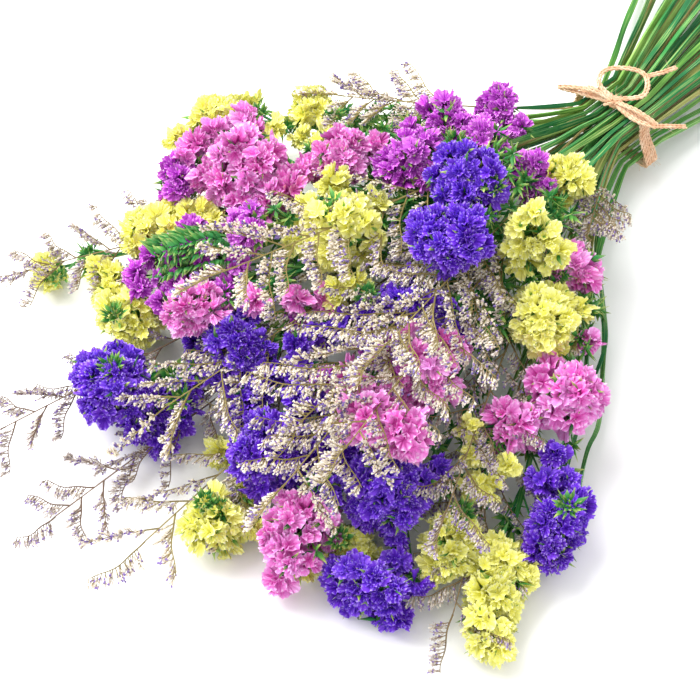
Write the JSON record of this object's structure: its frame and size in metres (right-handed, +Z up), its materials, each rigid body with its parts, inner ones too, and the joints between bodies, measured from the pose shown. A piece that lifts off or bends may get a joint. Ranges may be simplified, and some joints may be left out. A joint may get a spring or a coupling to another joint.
{
  "type": "tied bunch of dried statice and sea lavender",
  "caption": "Dried statice and fine sea lavender sprays, tied round the stems with a bow of jute twine and lying on its side.",
  "frame": {"origin": "under the middle of the whole bunch, on the surface that it lies on", "axes": "+X along the stems towards their cut ends, -X towards the flowers, +Y across the bunch, +Z up from the surface"},
  "size_m": [0.5442, 0.3344, 0.1018],
  "materials": {
    "violet_florets": "matte",
    "magenta_florets": "matte",
    "pink_florets": "matte",
    "yellow_florets": "matte",
    "green_stems": "matte",
    "sea_lavender": "matte",
    "jute_twine": "matte"
  },
  "bodies": {
    "root": {"stems_top": "green_stems", "stems_upper": "green_stems", "stems_middle": "green_stems", "stems_low": "green_stems", "twine_tie": "jute_twine", "violet_head_1": "violet_florets", "violet_head_2": "violet_florets", "violet_head_3": "violet_florets", "violet_head_4": "violet_florets", "violet_head_5": "violet_florets", "violet_head_6": "violet_florets", "violet_head_7": "violet_florets", "violet_head_8": "violet_florets", "violet_head_9": "violet_florets", "magenta_head_1": "magenta_florets", "magenta_head_2": "magenta_florets", "magenta_head_3": "magenta_florets", "magenta_head_4": "magenta_florets", "magenta_head_5": "magenta_florets", "magenta_head_6": "magenta_florets", "magenta_head_7": "magenta_florets", "magenta_head_8": "magenta_florets", "pink_head_1": "pink_florets", "pink_head_2": "pink_florets", "pink_head_3": "pink_florets", "pink_head_4": "pink_florets", "pink_head_5": "pink_florets", "pink_head_6": "pink_florets", "pink_head_7": "pink_florets", "pink_head_8": "pink_florets", "pink_head_9": "pink_florets", "yellow_head_1": "yellow_florets", "yellow_head_2": "yellow_florets", "yellow_head_3": "yellow_florets", "yellow_head_4": "yellow_florets", "yellow_head_5": "yellow_florets", "yellow_head_6": "yellow_florets", "yellow_head_7": "yellow_florets", "yellow_head_8": "yellow_florets", "yellow_head_9": "yellow_florets", "yellow_head_10": "yellow_florets", "yellow_head_11": "yellow_florets", "yellow_head_12": "yellow_florets", "yellow_head_13": "yellow_florets", "yellow_head_14": "yellow_florets", "sea_lavender_1": "sea_lavender", "sea_lavender_2": "sea_lavender", "sea_lavender_3": "sea_lavender", "sea_lavender_4": "sea_lavender", "sea_lavender_5": "sea_lavender", "sea_lavender_6": "sea_lavender", "sea_lavender_7": "sea_lavender", "sea_lavender_8": "sea_lavender", "sea_lavender_9": "sea_lavender", "sea_lavender_10": "sea_lavender", "sea_lavender_11": "sea_lavender", "sea_lavender_12": "sea_lavender", "sea_lavender_13": "sea_lavender", "sea_lavender_14": "sea_lavender"}
  },
  "joints": []
}
